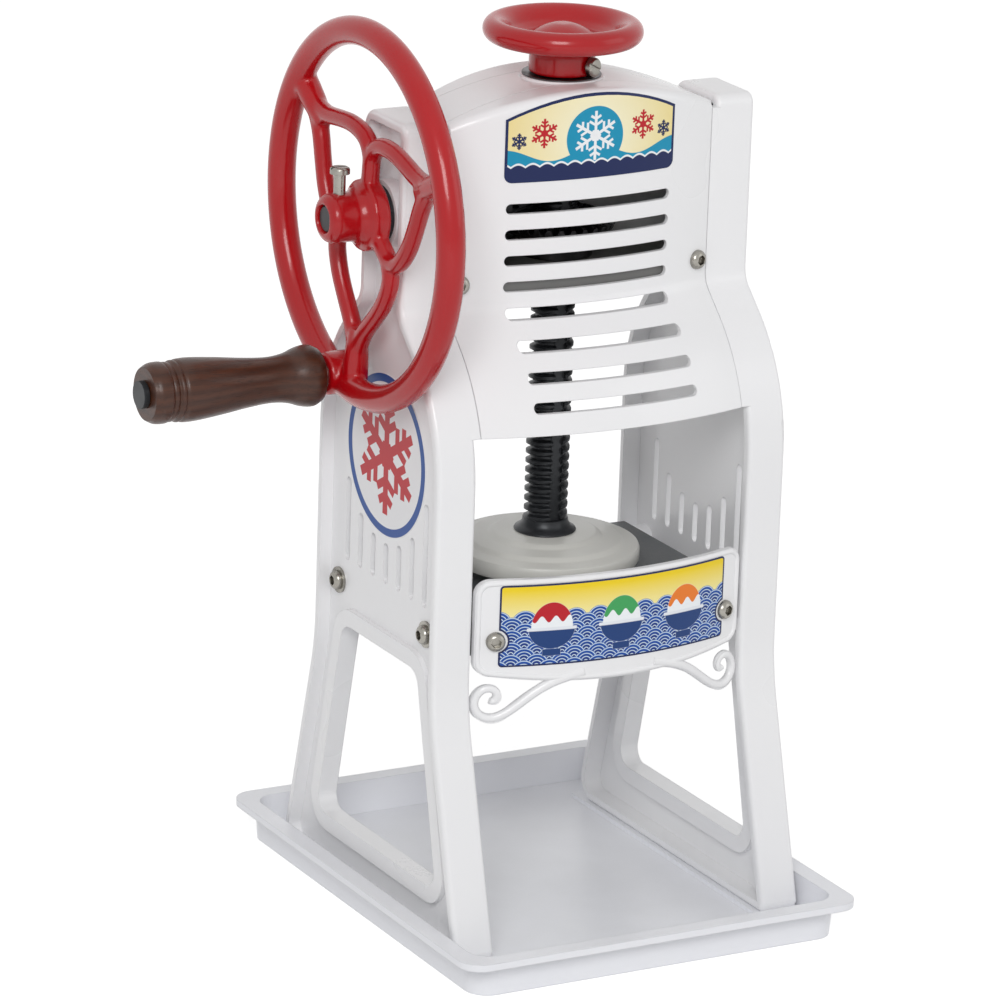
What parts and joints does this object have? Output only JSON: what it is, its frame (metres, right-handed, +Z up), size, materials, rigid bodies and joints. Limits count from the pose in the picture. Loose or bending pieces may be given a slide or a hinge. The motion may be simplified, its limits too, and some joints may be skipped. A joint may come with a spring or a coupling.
{
  "type": "ice shaver",
  "caption": "Hand cranked ice shaver: cast side frames in a drip tray, bevel gear drive, press screw with spiked plate, handwheel and blade table.",
  "frame": {"origin": "centre of the tray's underside", "axes": "+Z up, -Y the front with the aprons and vents, -X the crank side"},
  "size_m": [0.3329, 0.271, 0.4663],
  "materials": {
    "white_enamel": "glossy enamel on a casting",
    "white_plastic": "moulded, soft gloss",
    "grey_casting": "satin paint",
    "red_enamel": "glossy enamel",
    "dark_wood": "lacquered",
    "black_steel": "blackened",
    "plate_grey": "satin",
    "table_grey": "satin",
    "blade_steel": "ground",
    "bronze": "machined",
    "gear_steel": "oiled",
    "nickel": "plated"
  },
  "bodies": {
    "stand": {"tray": "white_plastic", "left_frame": "white_enamel", "right_frame": "white_enamel", "top_bridge": "white_enamel", "gear_bridge": "grey_casting", "front_cover": "white_enamel", "rear_cover": "white_enamel", "blade_table": "table_grey", "blade": "blade_steel", "blade_screws": "nickel", "front_apron": "white_enamel", "feed_nut": "bronze", "thrust_ring": "gear_steel", "outer_bush": "black_steel", "inner_bush": "bronze", "cover_screws": "nickel", "rear_cover_screws": "nickel", "apron_screws": "nickel", "table_bolts": "nickel", "table_washers": "nickel", "gear_bridge_bolts": "nickel", "top_bridge_bolts": "nickel"},
    "crank": {"crank_wheel": "red_enamel", "crank_shaft": "black_steel", "crank_clamp_bolt": "nickel", "bevel_pinion": "gear_steel", "pinion_pin": "gear_steel", "grip_bolt": "nickel", "grip_nut": "nickel"},
    "grip": {"grip": "dark_wood"},
    "gear": {"bevel_gear": "gear_steel", "gear_key": "gear_steel"},
    "press_screw": {"spindle": "black_steel", "spindle_collar": "black_steel", "press_plate": "plate_grey", "handwheel": "red_enamel", "handwheel_screw": "nickel"}
  },
  "joints": [
    {"name": "crank_spin", "type": "hinge", "parent": "stand", "child": "crank", "pos_m": [0, 0.007, 0.3675], "axis": [1, 0, 0], "continuous": true},
    {"name": "grip_spin", "type": "hinge", "parent": "crank", "child": "grip", "pos_m": [-0.17, 0.03029, 0.28057], "axis": [1, 0, 0], "continuous": true},
    {"name": "gear_spin", "type": "hinge", "parent": "stand", "child": "gear", "pos_m": [0, 0.007, 0.35], "axis": [0, 0, 1], "continuous": true},
    {"name": "screw_lift", "type": "slide", "parent": "gear", "child": "press_screw", "axis": [0, 0, 1], "range_m": [0, 0.12]}
  ],
  "couplings": [
    {"joint": "gear_spin", "follows": "crank_spin", "ratio": -0.4}
  ]
}
